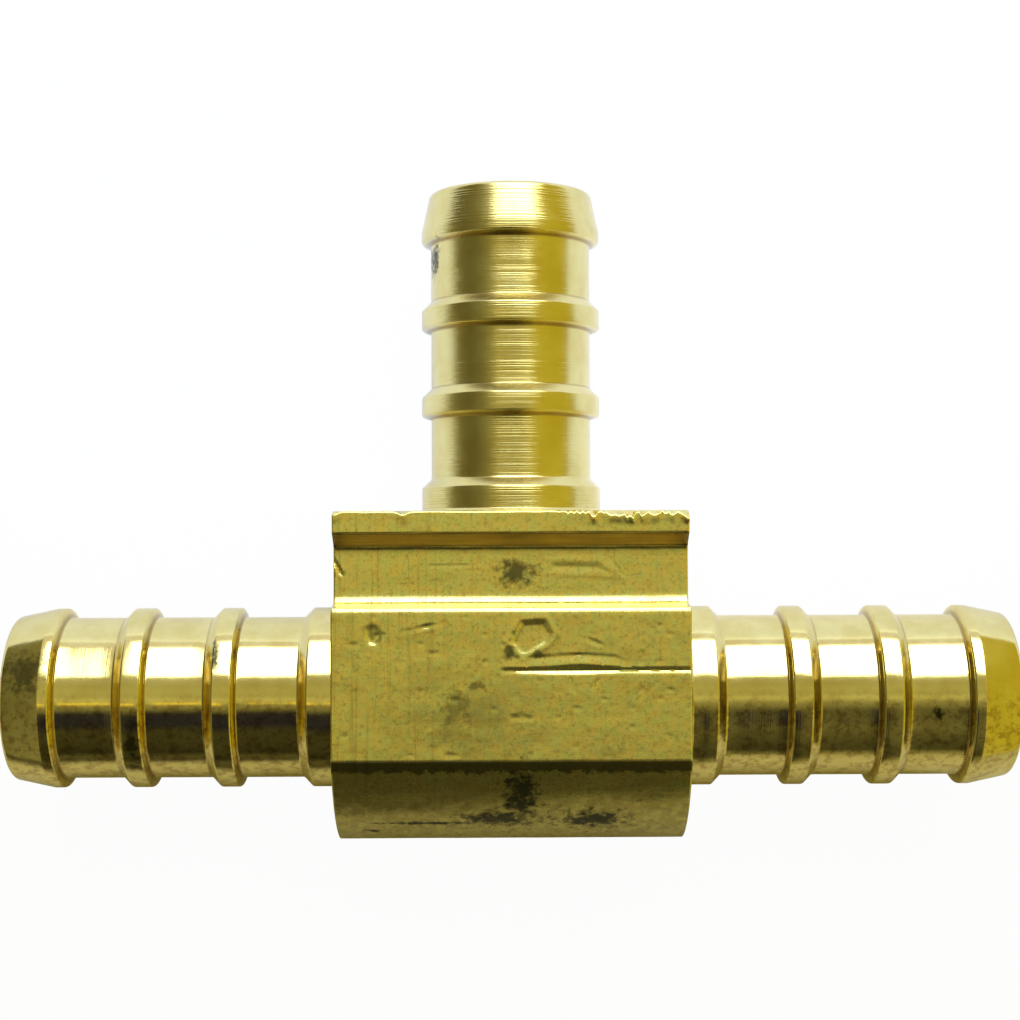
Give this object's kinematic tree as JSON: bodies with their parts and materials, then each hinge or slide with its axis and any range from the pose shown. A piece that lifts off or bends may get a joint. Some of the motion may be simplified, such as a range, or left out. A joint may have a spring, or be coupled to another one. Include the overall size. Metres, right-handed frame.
{
  "type": "barbed brass tee for crimped plastic pipe",
  "caption": "Solid brass pipe tee: a short bar of keel-shaped section with a ribbed barb on each end and on top, bored through to all ports.",
  "frame": {"origin": "on the bar's back face, under the point where the three bores meet", "axes": "+X along the run, +Y along the branch towards its open end, +Z out of the bar's front face"},
  "size_m": [0.0492, 0.0321, 0.011],
  "materials": {
    "brass": "turned and extruded, tarnished"
  },
  "bodies": {
    "root": {"tee_fitting": "brass"}
  },
  "joints": []
}
